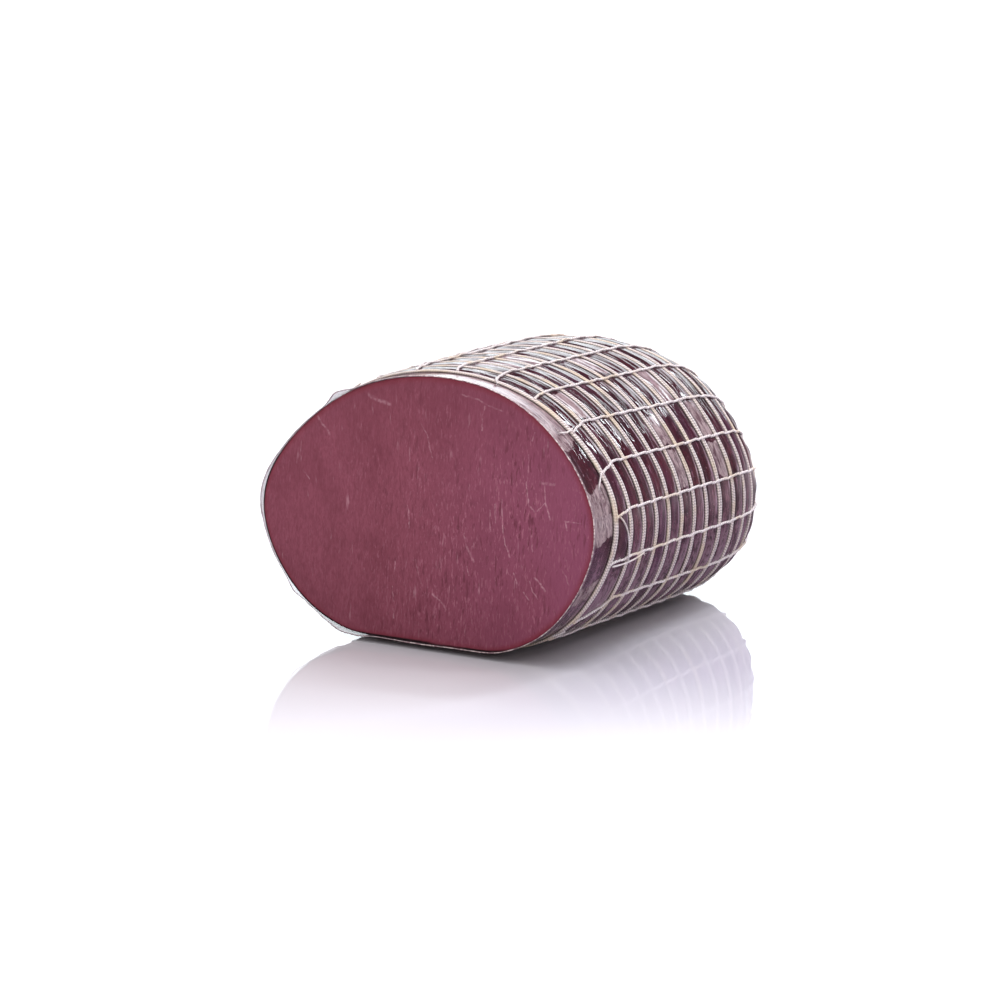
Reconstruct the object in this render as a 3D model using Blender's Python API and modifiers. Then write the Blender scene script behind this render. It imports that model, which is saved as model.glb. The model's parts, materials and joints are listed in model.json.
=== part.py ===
"""Half of an oval cured beef joint, cut across, in its clear casing and elastic net.

Metres. The joint lies along Y with its cut face towards -Y and rests on z = 0.
Every layer is grown from the surface of the meat, so that the casing wraps the
meat and the net wraps the casing with an even gap all round.
"""

import math

import bmesh
import bpy
from mathutils import Vector

# The meat, before the casing and the net are laid over it.
HALF_WIDTH = 0.0737
HALF_HEIGHT = 0.0513
SHOULDER = 0.099  # from the cut to where the far end begins to round off
TIP = 0.179  # from the cut to the far end
TIP_HEIGHT = 0.032  # of the far end's point above the meat's underside
END_BLUNTNESS = 2.4  # 2 rounds the far end as an ellipse does, more is blunter
NARROWING = 0.12  # share of the width lost between the cut and the shoulder
LOWERING = 0.065  # share of the height lost there
BELLY = 0.24  # how far the far side hangs by the shoulder, as a share of the radius
BELLY_ANGLE = math.radians(-134.0)  # where round the joint it hangs most
CUT_LEAN = 0.05  # how far the cut falls back for each metre of height
SETTLE = 0.0018  # how far its own weight presses the underside flat
SETTLE_BLEND = 0.0012  # how softly the flat turns up into the sides

# The section is a natural oval. Each row is a wave round it: waves a turn, its cosine
# and sine at the cut, and what both gain by the shoulder, as shares of the radius.
WAVES = (
    (2, 0.0, 0.017, -0.034, -0.109),
    (3, -0.012, -0.022, -0.024, 0.024),
    (4, -0.005, 0.0, 0.0, 0.0),
    (5, 0.0, 0.009, 0.0, 0.0),
    (6, 0.009, 0.0, 0.0, 0.0),
)

# The layers over the meat.
MEAT_GAP = 0.0003
CASING_WALL = 0.0006
NET_GAP = 0.0005
STRAND = 0.0014
PRESSED = 0.0002  # strands that lie this near the table are pressed flat on to it

# The net: rings of elastic round the joint, and knitted chains along it.
CHAINS = 22
RING_PITCH = 0.01127
SECOND_RING = 0.0266  # from the cut
FIRST_RING = 0.0118  # from the cut, where it lies closest
FIRST_RING_SAG = 0.0052  # how much further back the first ring lies at its slackest
SAG_ANGLE = math.radians(8.0)  # where round the joint that is
RING_LEAN = -0.070  # how far a ring moves back for each metre of height
RING_TURN = 0.036  # and for each metre of width
CHAIN_START = 0.0183  # share of the way round, of the first chain at the cut
CHAIN_DRIFT = -0.018  # how much further round it is at the shoulder
CHAIN_SLANT = -0.011  # and how much further round its loose end is at the first ring
EYE_SHRINK = 0.16  # size of the last ring, round the tie, to the shoulder's section
CROWDED_FROM = 0.177  # from the cut: past here a ring has corners on its chains alone

# The tie that closes the net at the far end: a collar, a waist and a rounded knot.
TIE_RADIUS = 0.0060  # of the collar, which presses the last ring on to the casing
TIE_COLLAR = 0.0012  # length of the collar
TIE_WAIST = 0.0040  # radius of the waist
TIE_WAIST_AT = 0.0032  # from the collar's foot
TIE_KNOT = 0.0054  # radius of the knot
TIE_KNOT_AT = 0.0060  # from the collar's foot
TIE_END = 0.0036  # radius of the knot's flat end
TIE_LENGTH = 0.0080
TIE_SIDES = 20

COLUMNS = 2 * CHAINS  # corners round each layer: one on every chain and one between
FINE_STEPS = 360  # steps round the oval when its length is measured
WALK = 0.00005  # step along the joint when the rings are spaced over the far end
SAME_POINT = 0.00002  # corners nearer than this are one corner
MEAT_EDGE = math.radians(50.0)  # a turn sharper than this shows as an edge of the meat
TIE_EDGE = math.radians(40.0)  # and as an edge of the tie

MEAT_RED = (0.19, 0.045, 0.075, 1.0)
MEAT_ROUGHNESS = 0.45
CASING_MAUVE = (0.28, 0.16, 0.20, 1.0)
CASING_ROUGHNESS = 0.15
ELASTIC_CREAM = (0.66, 0.58, 0.50, 1.0)
YARN_ROUGHNESS = 0.8


def oval(angle, along):
    """Point of the section at an angle, at a share of the way to the shoulder."""
    radius = 1.0
    for turns, cos_cut, sin_cut, cos_gain, sin_gain in WAVES:
        radius += (cos_cut + cos_gain * along) * math.cos(turns * angle)
        radius += (sin_cut + sin_gain * along) * math.sin(turns * angle)
    radius += BELLY * along * max(0.0, math.cos(angle - BELLY_ANGLE)) ** 4
    x = HALF_WIDTH * (1.0 - NARROWING * along) * radius * math.cos(angle)
    z = HALF_HEIGHT * (1.0 - LOWERING * along) * radius * math.sin(angle)
    return Vector((x, 0.0, z))


def outline(along, slant=0.0):
    """The section's corners, evenly spaced round it, the first on the first chain."""
    fine = [oval(math.tau * step / FINE_STEPS, along) for step in range(FINE_STEPS + 1)]
    reach = [0.0]
    for before, after in zip(fine, fine[1:]):
        reach.append(reach[-1] + (after - before).length)
    start = CHAIN_START + CHAIN_DRIFT * along + slant
    corners = []
    for column in range(COLUMNS):
        share = (start + column / COLUMNS) % 1.0
        step = next(i for i in range(FINE_STEPS) if reach[i + 1] >= share * reach[-1])
        part = (share * reach[-1] - reach[step]) / (reach[step + 1] - reach[step])
        corners.append(fine[step].lerp(fine[step + 1], part))
    return corners


def shrink(y):
    """Size of the section at y, to the section at the shoulder."""
    past = max(0.0, (y - SHOULDER) / (TIP - SHOULDER))
    return max(0.0, 1.0 - past ** END_BLUNTNESS) ** (1.0 / END_BLUNTNESS)


def settled(z):
    """Height of a point once the joint's weight has pressed its underside flat."""
    if z < -SETTLE_BLEND:
        return 0.0
    if z < SETTLE_BLEND:
        return (z + SETTLE_BLEND) ** 2 / (4.0 * SETTLE_BLEND)
    return z


def station(y, slant=0.0):
    """Corners of the meat's surface round the joint, on the upright plane at y."""
    corners = outline(min(y / SHOULDER, 1.0), slant)
    lowest = min(corner.z for corner in corners)
    size = shrink(y)
    for corner in corners:
        corner.x *= size
        corner.y = y
        corner.z = settled((corner.z - lowest) * size + TIP_HEIGHT * (1.0 - size) - SETTLE)
    return corners


def at_cut():
    """The cut: the front section, leaning back a little."""
    corners = station(0.0)
    for corner in corners:
        corner.y = CUT_LEAN * (corner.z - HALF_HEIGHT)
    return corners


def at_ring(y, slant=0.0):
    """A section tilted the way the net's rings lie on the joint."""
    corners = station(y, slant)
    middle = sum(corner.z for corner in corners) / COLUMNS
    for corner in corners:
        corner.y += RING_LEAN * (corner.z - middle) + RING_TURN * corner.x
    return corners


def at_first_ring():
    """The first ring, slack at the near side, with the chains' loose ends slanting to it."""
    corners = station(FIRST_RING, CHAIN_SLANT)
    for corner in corners:
        angle = math.atan2((corner.z - HALF_HEIGHT) / HALF_HEIGHT, corner.x / HALF_WIDTH)
        corner.y += FIRST_RING_SAG * max(0.0, math.cos(angle - SAG_ANGLE)) ** 4
    return corners


def ring_places():
    """Distance of each ring from the cut, from the second ring to the eye at the tie."""
    places = [SECOND_RING]
    y = SECOND_RING
    run = 0.0
    while shrink(y + WALK) > EYE_SHRINK:
        run += math.hypot(WALK, HALF_HEIGHT * (shrink(y) - shrink(y + WALK)))
        y += WALK
        if run >= RING_PITCH:
            places.append(y)
            run = 0.0
    if run < RING_PITCH / 2:
        places.pop()
    places.append(y)
    return places


def loft(sections, closed_tip):
    """Skin through sections from the cut backwards, each extruded from the one before."""
    mesh = bmesh.new()
    column = mesh.verts.layers.int.new("column")
    ring = bmesh.ops.create_circle(mesh, segments=COLUMNS, radius=HALF_WIDTH)["verts"]
    for index, vert in enumerate(ring):
        vert[column] = index
        vert.co = sections[0][index]
    edges = list(mesh.edges)
    for section in sections[1:]:
        grown = bmesh.ops.extrude_edge_only(mesh, edges=edges)["geom"]
        edges = [item for item in grown if isinstance(item, bmesh.types.BMEdge)]
        ring = [item for item in grown if isinstance(item, bmesh.types.BMVert)]
        for vert in ring:
            vert.co = section[vert[column]]
    if closed_tip:
        middle = sum((vert.co for vert in ring), Vector()) / len(ring)
        middle.y = TIP
        bmesh.ops.pointmerge(mesh, verts=ring, merge_co=middle)
    mesh.normal_update()
    side = next(face for face in mesh.faces if face.calc_center_median().x > HALF_WIDTH / 2)
    if side.normal.x < 0.0:
        bmesh.ops.reverse_faces(mesh, faces=list(mesh.faces))
        mesh.normal_update()
    return mesh


def swell(mesh, distance):
    """Push an open skin outwards by an even distance."""
    moves = [(vert, vert.normal * distance) for vert in mesh.verts]
    for vert, move in moves:
        vert.co += move


def finished(mesh, name, colour, roughness, collection):
    """Object of a mesh with its own material."""
    data = bpy.data.meshes.new(name)
    mesh.to_mesh(data)
    mesh.free()
    material = bpy.data.materials.new(name)
    material.use_nodes = True
    shader = material.node_tree.nodes["Principled BSDF"]
    shader.inputs["Base Color"].default_value = colour
    shader.inputs["Roughness"].default_value = roughness
    shader.inputs["Metallic"].default_value = 0.0
    data.materials.append(material)
    item = bpy.data.objects.new(name, data)
    collection.objects.link(item)
    return item


def body_sections():
    """Sections of the meat and the casing: fewer along the side, one at each ring of the end."""
    places = ring_places()
    side = [place for place in places if place < SHOULDER]
    end = [place for place in places if place >= SHOULDER]
    used = [side[len(side) // 2], side[-1]] + end
    return [at_cut()] + [at_ring(place) for place in used]


def make_beef(collection):
    """The meat: a lofted oval with a flat cut and a rounded far end."""
    sections = body_sections()
    mesh = loft(sections + [sections[-1]], closed_tip=True)
    rim = [edge for edge in mesh.edges if edge.is_boundary]
    bmesh.ops.contextual_create(mesh, geom=rim)
    mesh.normal_update()
    item = finished(mesh, "beef", MEAT_RED, MEAT_ROUGHNESS, collection)
    item.data.shade_smooth()
    item.data.set_sharp_from_angle(angle=MEAT_EDGE)
    return item


def make_casing(collection):
    """The clear casing: a thin sleeve over the meat, open at the cut."""
    sections = body_sections()
    mesh = loft(sections + [sections[-1]], closed_tip=True)
    swell(mesh, MEAT_GAP)
    item = finished(mesh, "casing", CASING_MAUVE, CASING_ROUGHNESS, collection)
    wall = item.modifiers.new("wall", "SOLIDIFY")
    wall.thickness = CASING_WALL
    wall.offset = 1.0
    wall.use_even_offset = True
    item.data.shade_smooth()
    return item


def half_strand_strip(mesh, edges, towards):
    """Carry an open edge of the net on by half a strand, so that its ring is whole."""
    grown = bmesh.ops.extrude_edge_only(mesh, edges=edges)["geom"]
    for vert in grown:
        if isinstance(vert, bmesh.types.BMVert):
            vert.co.y += towards * STRAND / 2


def make_net(collection):
    """The net: rings and chains as one knitted piece, in strands of square section.

    Every opening is inset by half a strand and cut out of the skin. The flat lattice
    that is left is then parted along the middle of its strands, up and down.
    """
    places = ring_places()
    mesh = loft([at_first_ring()] + [at_ring(place) for place in places], closed_tip=False)
    swell(mesh, MEAT_GAP + CASING_WALL + NET_GAP + STRAND / 2)
    column = mesh.verts.layers.int["column"]
    spare = [vert for vert in mesh.verts if vert[column] % 2]
    between = [edge for vert in spare for edge in vert.link_edges if edge.other_vert(vert) in spare]
    bmesh.ops.dissolve_edges(mesh, edges=list(set(between)), use_verts=False)
    crowded = [vert for vert in spare if vert.co.y > CROWDED_FROM]
    bmesh.ops.dissolve_verts(mesh, verts=crowded)

    mesh.normal_update()
    lifts = {vert: vert.normal * STRAND / 2 for vert in mesh.verts}
    rims = [edge for edge in mesh.edges if edge.is_boundary]
    openings = list(mesh.faces)
    half_strand_strip(mesh, [edge for edge in rims if edge.verts[0].co.y < SECOND_RING], -1.0)
    half_strand_strip(mesh, [edge for edge in rims if edge.verts[0].co.y > SHOULDER], 1.0)
    bmesh.ops.inset_individual(mesh, faces=openings, thickness=STRAND / 2, use_even_offset=True)
    bmesh.ops.delete(mesh, geom=openings, context="FACES_ONLY")

    under = bmesh.ops.duplicate(mesh, geom=list(mesh.verts) + list(mesh.edges) + list(mesh.faces))
    for vert, lift in lifts.items():
        vert.co += lift
        under["vert_map"][vert].co -= lift
    bmesh.ops.reverse_faces(mesh, faces=[f for f in under["geom"] if isinstance(f, bmesh.types.BMFace)])
    bmesh.ops.remove_doubles(mesh, verts=list(mesh.verts), dist=SAME_POINT)
    lowest = min(vert.co.z for vert in mesh.verts)
    for vert in mesh.verts:
        if vert.co.z < lowest + PRESSED:
            vert.co.z = lowest
    return finished(mesh, "net", ELASTIC_CREAM, YARN_ROUGHNESS, collection)


def make_tie(collection):
    """The tie at the far end: a turned knot with a waist, just clear of the casing."""
    profile = (
        (0.0, 0.0),
        (TIE_RADIUS, 0.0),
        (TIE_RADIUS, TIE_COLLAR),
        (TIE_WAIST, TIE_WAIST_AT),
        (TIE_KNOT, TIE_KNOT_AT),
        (TIE_END, TIE_LENGTH),
        (0.0, TIE_LENGTH),
    )
    mesh = bmesh.new()
    verts = [mesh.verts.new((radius, along, 0.0)) for radius, along in profile]
    edges = [mesh.edges.new(pair) for pair in zip(verts, verts[1:])]
    bmesh.ops.spin(mesh, geom=verts + edges, cent=(0.0, 0.0, 0.0), axis=(0.0, 1.0, 0.0),
                   angle=math.tau, steps=TIE_SIDES, use_merge=True)
    bmesh.ops.remove_doubles(mesh, verts=list(mesh.verts), dist=SAME_POINT)
    bmesh.ops.recalc_face_normals(mesh, faces=list(mesh.faces))
    item = finished(mesh, "tie", ELASTIC_CREAM, YARN_ROUGHNESS, collection)
    item.data.shade_smooth()
    item.data.set_sharp_from_angle(angle=TIE_EDGE)
    eye = at_ring(ring_places()[-1])
    item.location = sum(eye, Vector()) / COLUMNS
    item.location.y = TIP + MEAT_GAP + CASING_WALL + NET_GAP
    return item


def bounds(items):
    """Lowest and highest corners of the finished objects together."""
    bpy.context.view_layer.update()
    graph = bpy.context.evaluated_depsgraph_get()
    points = []
    for item in items:
        shown = item.evaluated_get(graph)
        points += [shown.matrix_world @ vert.co for vert in shown.data.vertices]
    low = Vector([min(point[axis] for point in points) for axis in range(3)])
    high = Vector([max(point[axis] for point in points) for axis in range(3)])
    return low, high


def main():
    for item in list(bpy.data.objects):
        bpy.data.objects.remove(item, do_unlink=True)
    parts = bpy.data.collections.new("cured_beef_joint")
    bpy.context.scene.collection.children.link(parts)
    items = [make_beef(parts), make_casing(parts), make_net(parts), make_tie(parts)]
    low, high = bounds(items)
    shift = Vector((-(low.x + high.x) / 2, -(low.y + high.y) / 2, -low.z))
    for item in items:
        item.location += shift


main()
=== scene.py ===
# %% [markdown]
# # A cured beef joint, cut in half, in its casing and net
#
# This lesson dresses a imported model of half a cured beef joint: dark meat with a flat
# cut face, a clear casing that clings and wrinkles, and a knitted elastic net.
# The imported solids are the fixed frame. Each cell below makes one thing, says how it
# could be made and why this way was chosen, and prints what it made.
#
# Everything here is in metres, with the cut face towards -Y and +Z up.

import json
import math

import bmesh
import bpy
import numpy as np
from mathutils import Matrix, Vector, noise

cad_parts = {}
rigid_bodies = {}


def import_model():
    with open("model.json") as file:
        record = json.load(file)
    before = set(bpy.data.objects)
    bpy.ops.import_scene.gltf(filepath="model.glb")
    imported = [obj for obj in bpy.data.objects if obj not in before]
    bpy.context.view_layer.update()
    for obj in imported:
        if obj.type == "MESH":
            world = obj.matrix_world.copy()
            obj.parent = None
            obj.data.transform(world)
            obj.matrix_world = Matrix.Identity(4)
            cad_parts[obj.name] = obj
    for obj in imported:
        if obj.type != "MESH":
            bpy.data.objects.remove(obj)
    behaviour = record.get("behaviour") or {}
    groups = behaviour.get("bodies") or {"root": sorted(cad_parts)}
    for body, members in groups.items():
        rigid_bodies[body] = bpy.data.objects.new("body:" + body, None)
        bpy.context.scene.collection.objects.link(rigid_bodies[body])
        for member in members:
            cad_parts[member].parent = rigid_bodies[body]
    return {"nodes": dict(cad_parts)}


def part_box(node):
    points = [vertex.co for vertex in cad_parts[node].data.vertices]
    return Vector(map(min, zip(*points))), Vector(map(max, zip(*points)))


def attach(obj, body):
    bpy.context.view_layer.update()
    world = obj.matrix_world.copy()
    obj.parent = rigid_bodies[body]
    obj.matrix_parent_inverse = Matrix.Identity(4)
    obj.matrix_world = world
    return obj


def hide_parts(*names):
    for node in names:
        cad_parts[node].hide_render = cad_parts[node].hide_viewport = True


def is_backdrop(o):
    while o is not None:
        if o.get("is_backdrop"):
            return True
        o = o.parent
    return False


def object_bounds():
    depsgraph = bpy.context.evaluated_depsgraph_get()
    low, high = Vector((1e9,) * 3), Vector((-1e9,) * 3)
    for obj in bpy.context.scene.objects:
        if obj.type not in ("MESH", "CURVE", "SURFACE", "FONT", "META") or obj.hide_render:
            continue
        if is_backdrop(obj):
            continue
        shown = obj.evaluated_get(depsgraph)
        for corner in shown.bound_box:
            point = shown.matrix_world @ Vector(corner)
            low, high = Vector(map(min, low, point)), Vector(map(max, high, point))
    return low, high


started_with = set(bpy.data.objects)
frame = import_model()
for item in started_with:
    bpy.data.objects.remove(item, do_unlink=True)
cad_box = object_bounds()
MM = 0.001
print("solids:", sorted(frame["nodes"]), "box:", [tuple(round(v, 4) for v in corner) for corner in cad_box])

# %% [markdown]
# ## The camera
#
# The camera comes first, because every later look is judged through it. It stands to
# the right of the cut face and a little above the joint. A lens could be guessed and
# the camera moved until the picture fits. Here its angles, distance and lens are known
# from the joint's outline, so it is placed by them: a long lens from over a metre away,
# as a studio would use.

# %% Camera
VIEW_TURN = 33.4  # degrees to the right of the cut face
VIEW_RISE = 10.96  # and above the table
VIEW_DISTANCE = 1.4124
LENS = 136.8  # millimetres
AIM = Vector((0.0183, -0.0689, 0.0544))


def in_scene(name, data):
    """An object made of some data, in the scene."""
    item = bpy.data.objects.new(name, data)
    bpy.context.scene.collection.objects.link(item)
    return item


def aimed(name, data, turn, rise, distance):
    """A camera or lamp that looks at the joint from an azimuth and a height, in degrees."""
    turn, rise = math.radians(turn), math.radians(rise)
    away = Vector((math.sin(turn) * math.cos(rise), -math.cos(turn) * math.cos(rise), math.sin(rise)))
    item = in_scene(name, data)
    item.location = AIM + away * distance
    item.rotation_mode = "QUATERNION"
    item.rotation_quaternion = (-away).to_track_quat("-Z", "Y")
    return item


camera = aimed("camera", bpy.data.cameras.new("camera"), VIEW_TURN, VIEW_RISE, VIEW_DISTANCE)
camera.data.lens = LENS
bpy.context.scene.camera = camera
print("camera at", [round(v, 3) for v in camera.location])

# %% [markdown]
# ## The joint's own form
#
# The joint is an uneven oval that narrows a little from the cut to its shoulder and
# then rounds off. The solids are grown from that form, and so are the film and the net
# here: if all of them use one form, they lie on each other with no fitting.
#
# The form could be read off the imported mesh, but that has only 44 sides. Its formula is
# repeated instead and sampled finely. `run` is the way along the surface from the cut,
# over the shoulder, to the far tip.

# %% Form of the joint
HALF_WIDTH = 0.0737
HALF_HEIGHT = 0.0513
SHOULDER = 0.099
TIP = 0.179
TIP_HEIGHT = 0.032
END_BLUNTNESS = 2.4
NARROWING = 0.12
LOWERING = 0.065
BELLY = 0.24
BELLY_ANGLE = math.radians(-134)
CUT_LEAN = 0.05
SETTLE = 0.0018
SETTLE_BLEND = 0.0012
WAVES = (
    (2, 0, 0.017, -0.034, -0.109),
    (3, -0.012, -0.022, -0.024, 0.024),
    (4, -0.005, 0, 0, 0),
    (5, 0, 0.009, 0, 0),
    (6, 0.009, 0, 0, 0),
)
CHAINS = 22
CHAIN_START = 0.0183
CHAIN_DRIFT = -0.018
RING_LEAN = -0.070
RING_TURN = 0.036
RING_PITCH = 0.0113
FIRST_RING = 0.0118
FIRST_RING_SAG = 0.0052
SAG_ANGLE = math.radians(8)
SECOND_RING = 0.0266
CHAIN_SLANT = -0.011
EYE_SHRINK = 0.16

FINE_ANGLES = 720  # steps round the oval when its length is measured
PLACES_ROUND = CHAINS * 16  # places round the joint in the table of its surface
RUN_STEP = 0.5 * MM  # and the step along it

turning = np.linspace(0, math.pi / 2, 3000)
end_y = SHOULDER + (TIP - SHOULDER) * np.sin(turning) ** (2 / END_BLUNTNESS)
end_size = np.cos(turning) ** (2 / END_BLUNTNESS)
end_run = np.append(0, np.cumsum(np.hypot(np.diff(end_y), HALF_HEIGHT * np.diff(end_size)))) + SHOULDER
RUN_END = float(end_run[-1])
EYE_RUN = float(np.interp(-EYE_SHRINK, -end_size, end_run))
print(f"run from cut to tip {RUN_END * 1000:.1f} mm, to the net's eye {EYE_RUN * 1000:.1f} mm")


# %% The surface as a table of points
def smooth_step(value):
    value = np.clip(value, 0, 1)
    return value * value * (3 - 2 * value)


def unit(vectors):
    """The same directions, with a length of 1."""
    return vectors / np.maximum(np.linalg.norm(vectors, axis=-1, keepdims=True), 1e-12)


def oval(along):
    """x and z of places evenly spaced round the section, at a share of the way to the shoulder."""
    angle = np.linspace(0, math.tau, FINE_ANGLES + 1)
    radius = np.ones(FINE_ANGLES + 1)
    for turns, cos_cut, sin_cut, cos_gain, sin_gain in WAVES:
        radius += (cos_cut + cos_gain * along) * np.cos(turns * angle)
        radius += (sin_cut + sin_gain * along) * np.sin(turns * angle)
    radius += BELLY * along * np.maximum(0, np.cos(angle - BELLY_ANGLE)) ** 4
    x = HALF_WIDTH * (1 - NARROWING * along) * radius * np.cos(angle)
    z = HALF_HEIGHT * (1 - LOWERING * along) * radius * np.sin(angle)
    reach = np.append(0, np.cumsum(np.hypot(np.diff(x), np.diff(z))))
    places = (CHAIN_START + CHAIN_DRIFT * along + np.arange(PLACES_ROUND) / PLACES_ROUND) % 1
    return np.interp(places * reach[-1], reach, x), np.interp(places * reach[-1], reach, z)


def settled(z):
    """Heights once the joint's weight has pressed its underside flat."""
    soft = (z + SETTLE_BLEND) ** 2 / (4 * SETTLE_BLEND)
    return np.where(z < -SETTLE_BLEND, 0, np.where(z < SETTLE_BLEND, soft, z))


def surface_row(run):
    """Points round the joint at a run from the cut: upright lines at the cut lean into the net's rings."""
    y = run if run < SHOULDER else float(np.interp(run, end_run, end_y))
    size = 1 if run < SHOULDER else float(np.interp(run, end_run, end_size))
    x, z = oval(min(y / SHOULDER, 1))
    lowest = z[::PLACES_ROUND // (2 * CHAINS)].min()
    x = x * size
    z = settled((z - lowest) * size + TIP_HEIGHT * (1 - size) - SETTLE)
    ring_like = smooth_step(run / SECOND_RING)
    lean = ring_like * (RING_LEAN * (z - z.mean()) + RING_TURN * x)
    lean += (1 - ring_like) * CUT_LEAN * (z - HALF_HEIGHT)
    return np.stack([x, y + lean, z], axis=1)


runs = np.append(np.arange(0, RUN_END, RUN_STEP), RUN_END)
surface = np.array([surface_row(run) for run in runs])
first_corners = surface[0, ::PLACES_ROUND // (2 * CHAINS)]
meat_low, meat_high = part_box("beef")
surface += (meat_low.x - first_corners[:, 0].min(), meat_high.y - TIP, meat_low.z)
girths = np.linalg.norm(np.roll(surface, -1, axis=1) - surface, axis=2).sum(axis=1)
round_step = np.roll(surface, -1, axis=1) - np.roll(surface, 1, axis=1)
outward = unit(np.cross(np.gradient(surface, axis=0), round_step))
outward[-1] = (0, 1, 0)
surface = np.concatenate([surface, surface[:, :1]], axis=1)
outward = np.concatenate([outward, outward[:, :1]], axis=1)
print(f"surface table {surface.shape[0]} by {surface.shape[1]}, girth at the cut {girths[0] * 1000:.0f} mm")

# %% [markdown]
# ## Rolling flat work on to the joint
#
# Film and net are flat goods that are pulled over the meat. They can be modelled that
# way too: each piece is laid out flat, with a share of the way round, a run from the
# cut and a height above the meat, and one function rolls it on. That keeps each
# piece's own code as simple as a flat drawing.


# %% Roll on
def on_joint(around, run, lift):
    """Points in space, and the directions out of the meat there, for places on the flat layout."""
    around, run, lift = np.broadcast_arrays(around, run, lift)
    column = (around % 1) * PLACES_ROUND
    left = np.minimum(column.astype(int), PLACES_ROUND - 1)
    part = (column - left)[..., None]
    row = np.interp(run, runs, np.arange(len(runs))) + np.minimum(run, 0) / RUN_STEP
    lower = np.clip(row.astype(int), 0, len(runs) - 2)
    share = (row - lower)[..., None]

    def read(table, rise):
        near = table[lower, left] * (1 - part) + table[lower, left + 1] * part
        far = table[lower + 1, left] * (1 - part) + table[lower + 1, left + 1] * part
        return near * (1 - rise) + far * rise

    out = unit(read(outward, np.clip(share, 0, 1)))
    return read(surface, share) + out * lift[..., None], out


def girth(run):
    """The way round the joint at a run from the cut."""
    return np.interp(run, runs, girths)


def wave(points, scale, seed):
    """Smooth noise from -1 to 1 at each point, with `scale` bumps a metre each way."""
    shift = Vector((seed * 7.31, seed * 3.17, seed * 5.53))
    stretched = np.asarray(points) * np.asarray(scale)
    return np.array([noise.noise(Vector(point) + shift) for point in stretched])


def circle_wave(around, bumps, seed, layer=0):
    """Smooth noise round the joint that meets itself. Another layer gives other bumps."""
    turn = around * math.tau
    return wave(np.stack([np.cos(turn), np.sin(turn), np.full_like(turn, layer)], axis=-1), bumps, seed)


# %% [markdown]
# ## Helpers for meshes
#
# `create_grid` is the start of nearly every piece: a flat sheet whose vertices know
# their place from 0 to 1 each way. Bent by a formula and joined where its edges meet,
# it becomes the skin of the meat, the film, or a yarn as a sheet rolled up lengthwise.
# The operator fills a UV map too, once the mesh has a layer for it. Stretched to real
# lengths, that map lets a pattern follow the piece wherever it turns.


# %% Sheet and yarn
def sheet(mesh, columns, rows):
    """A flat grid in the mesh. Gives its vertices and their places, counted in columns and rows."""
    mesh.loops.layers.uv.verify()
    made = bmesh.ops.create_grid(mesh, x_segments=columns, y_segments=rows, size=0.5,
                                 matrix=Matrix.Translation((0.5, 0.5, 0)), calc_uvs=True)["verts"]
    places = np.array([vert.co[:2] for vert in made]) * (columns, rows)
    return made, np.rint(places).astype(int)


def place(verts, points):
    """Move each vertex to its point."""
    for vert, point in zip(verts, points):
        vert.co = point


def scale_uvs(mesh, faces, across, up):
    """Stretch the 0 to 1 UVs of some faces to real lengths in metres."""
    layer = mesh.loops.layers.uv.verify()
    for face in faces:
        for loop in face.loops:
            loop[layer].uv = (loop[layer].uv.x * across, loop[layer].uv.y * up)


def way_along(points):
    """How far along a line of points each of them lies."""
    return np.append(0, np.cumsum(np.linalg.norm(np.diff(points, axis=0), axis=1)))


def yarn(mesh, path, out, radius, sides, flat=1):
    """A yarn along a path, from a sheet rolled up lengthwise. Its height is flat times its width."""
    ahead = np.gradient(path, axis=0)
    if np.allclose(path[0], path[-1]):
        ahead[0] = ahead[-1] = path[1] - path[-2]
    side = unit(np.cross(ahead, out))
    up = unit(np.cross(side, ahead))
    verts, places = sheet(mesh, len(path) - 1, sides)
    step = places[:, 0]
    turn = (places[:, 1] / sides * math.tau)[:, None]
    thickness = np.broadcast_to(radius, len(path))[step][:, None]
    place(verts, path[step] + thickness * (flat * np.cos(turn) * up[step] + np.sin(turn) * side[step]))
    scale_uvs(mesh, {face for vert in verts for face in vert.link_faces}, way_along(path)[-1], 1)


SEAM = 1e-6  # corners nearer than this are one corner


def mesh_object(mesh, name):
    """An object made of a mesh that is finished."""
    data = bpy.data.meshes.new(name)
    mesh.to_mesh(data)
    mesh.free()
    return in_scene(name, data)


def finish_piece(mesh, name, slot, *materials):
    """Join the seams of a mesh, face it outwards and add it to the scene, riding on the joint."""
    bmesh.ops.remove_doubles(mesh, verts=list(mesh.verts), dist=SEAM)
    bmesh.ops.recalc_face_normals(mesh, faces=list(mesh.faces))
    piece = mesh_object(mesh, name)
    piece.data.shade_smooth()
    for material in materials:
        piece.data.materials.append(material)
    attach(piece, "root")
    print(f"{name}: {sum(len(face.vertices) - 2 for face in piece.data.polygons)} triangles")
    return piece


# %% [markdown]
# ## Helpers for materials
#
# Materials are built from nodes. A node's inputs are given by name or by number: a plain
# value is set on the socket, and another node's output is linked. Colours are written as
# they look on a screen, from 0 to 255, and turned into the linear values that Blender
# uses.


# %% Node helpers
def screen(red, green, blue):
    """A colour as the screen shows it, in linear values."""
    shares = [value / 255 for value in (red, green, blue)]
    return (*(share / 12.92 if share <= 0.04045 else ((share + 0.055) / 1.055) ** 2.4 for share in shares), 1)


def set_inputs(made, inputs):
    """Set or link some of a node's inputs."""
    for name, value in inputs.items():
        if isinstance(value, bpy.types.NodeSocket):
            made.id_data.links.new(value, made.inputs[name])
        else:
            made.inputs[name].default_value = value


def add(tree, kind, inputs=None, **settings):
    """A node in a tree, with its settings and its inputs."""
    made = tree.nodes.new(kind if kind.startswith("NodeGroup") else "ShaderNode" + kind)
    for name, value in settings.items():
        setattr(made, name, value)
    set_inputs(made, inputs or {})
    return made


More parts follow.
